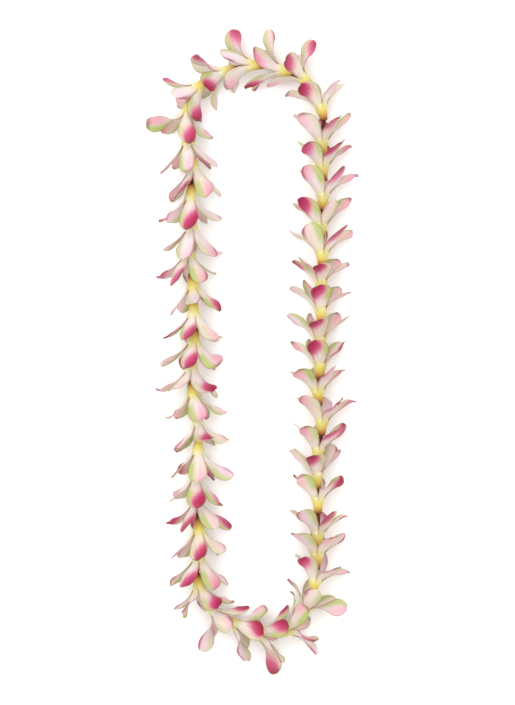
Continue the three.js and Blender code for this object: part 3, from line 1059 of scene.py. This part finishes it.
def veins_and_mottle(n, under, veins):
    on_petal = n.ease(n.along, 0.02, 0.25)
    under = n.layer(under, n.times(n.ease(veins, 0.5, 0.68), on_petal), VEIN_PINK, 0.25, "MULTIPLY")
    return n.layer(under, n.plus(n.patches, 0.5), MOTTLE_BROWN, 0.08, "MULTIPLY")


def petal_material():
    n = PetalNodes()
    veins = n.noise(n.drawn_out(15.0, 1.1, 9.0), 1.0, 2.0, 0.4)
    coloured = ground_colour(n)
    for paint_over in (cream_and_pink_wash, green_margin, deep_pink, edges, painted_seam_shade):
        coloured = paint_over(n, coloured)
    grain = n.bump(n.noise(n.place, 2600.0, 2.0), 0.12, 0.00008)
    n.surface(
        {
            "Base Color": veins_and_mottle(n, coloured, veins),
            "Roughness": n.ease(veins, 0.3, 0.75, 0.42, 0.56),
            "Normal": n.bump(veins, 0.5, 0.00022, grain),
            "Subsurface Weight": 0.15,
            "Subsurface Radius": (1.0, 0.55, 0.5),
            "Subsurface Scale": 0.0014,
            "Specular IOR Level": 0.35,
            "Sheen Weight": 0.05,
            "Sheen Roughness": 0.4,
        }
    )
    return n.material


def cord_material():
    n = Nodes("cord")
    strand, share, lobe = n.marks("mark")
    fibres = n.noise(n.vector(n.times(strand, 6.0), n.times(share, 900.0), 0.0), 2.0, 3.0)
    patches = n.noise(n.object_place(), 90.0, 2.0)
    brown = n.ramp(n.plus(n.times(fibres, 0.7), n.times(patches, 0.3)), CORD_BROWNS)
    n.surface(
        {
            # Darker in the grooves between the strands: painted shade.
            "Base Color": n.blend(n.ease(lobe, 0.5, 0.05), brown, CORD_GROOVE_SHADE),
            "Normal": n.bump(fibres, 0.7, 0.0003),
            "Roughness": n.ease(fibres, 0.3, 0.7, 0.72, 0.9),
            "Sheen Weight": 0.25,
            "Sheen Roughness": 0.5,
        }
    )
    return n.material


def floor_material():
    n = Nodes("studio_floor")
    n.surface({"Base Color": FLOOR_WHITE, "Roughness": 0.9, "Specular IOR Level": 0.1})
    return n.material


# ---- The stage ----

# The picture's frame: 412 by 564 mm at the cord's height, a little off the loop's middle.
VIEW_CENTRE = (4.0, -2.0)
VIEW_HEIGHT = 564.0
CAMERA_DISTANCE = 2600.0
SENSOR = 36.0

# Half the floor's width, and its height, a little under the lei.
FLOOR_HALF = 3000.0
FLOOR_AT = -0.3

# Discs of light that face the middle of the lei: name, position, diameter and power in watts.
LIGHTS = [
    ("key", (-550, 650, 2100), 2400, 36),
    ("fill", (900, -700, 1800), 1600, 5),
]


def make_floor():
    mesh = bpy.data.meshes.new("floor")
    signs = ((-1, -1), (1, -1), (1, 1), (-1, 1))
    corners = [(x * FLOOR_HALF * MM, y * FLOOR_HALF * MM, FLOOR_AT * MM) for x, y in signs]
    mesh.from_pydata(corners, [], [(0, 1, 2, 3)])
    mesh.materials.append(floor_material())
    floor = bpy.data.objects.new("floor", mesh)
    bpy.context.scene.collection.objects.link(floor)


def add_light(name, position, diameter, power):
    light = bpy.data.lights.new(name, "AREA")
    light.shape = "DISK"
    light.size = diameter * MM
    light.energy = power
    lamp = bpy.data.objects.new(name, light)
    lamp.location = Vector(position) * MM
    lamp.rotation_mode = "QUATERNION"
    lamp.rotation_quaternion = (-Vector(position)).to_track_quat("-Z", "Y")
    bpy.context.scene.collection.objects.link(lamp)


def make_lights():
    world = bpy.data.worlds.new("studio")
    world.use_nodes = True
    background = world.node_tree.nodes["Background"]
    background.inputs["Color"].default_value = (1.0, 1.0, 1.0, 1)
    background.inputs["Strength"].default_value = 1.0
    bpy.context.scene.world = world
    for light in LIGHTS:
        add_light(*light)
    bpy.context.scene.view_settings.view_transform = "Standard"


def make_camera():
    data = bpy.data.cameras.new("camera")
    data.type = "PERSP"
    data.sensor_width = SENSOR
    data.lens = SENSOR * CAMERA_DISTANCE / VIEW_HEIGHT
    camera = bpy.data.objects.new("camera", data)
    camera.location = (VIEW_CENTRE[0] * MM, VIEW_CENTRE[1] * MM, (CORD_HEIGHT + CAMERA_DISTANCE) * MM)
    bpy.context.scene.collection.objects.link(camera)
    bpy.context.scene.camera = camera


def main():
    make_camera()
    make_lights()
    make_floor()
    places = bloom_places()
    petal, cord = petal_material(), cord_material()
    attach(make_cord(places, cord), "root")
    for place in places:
        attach(make_bloom(place, petal), "root")
    bpy.context.view_layer.update()


main()
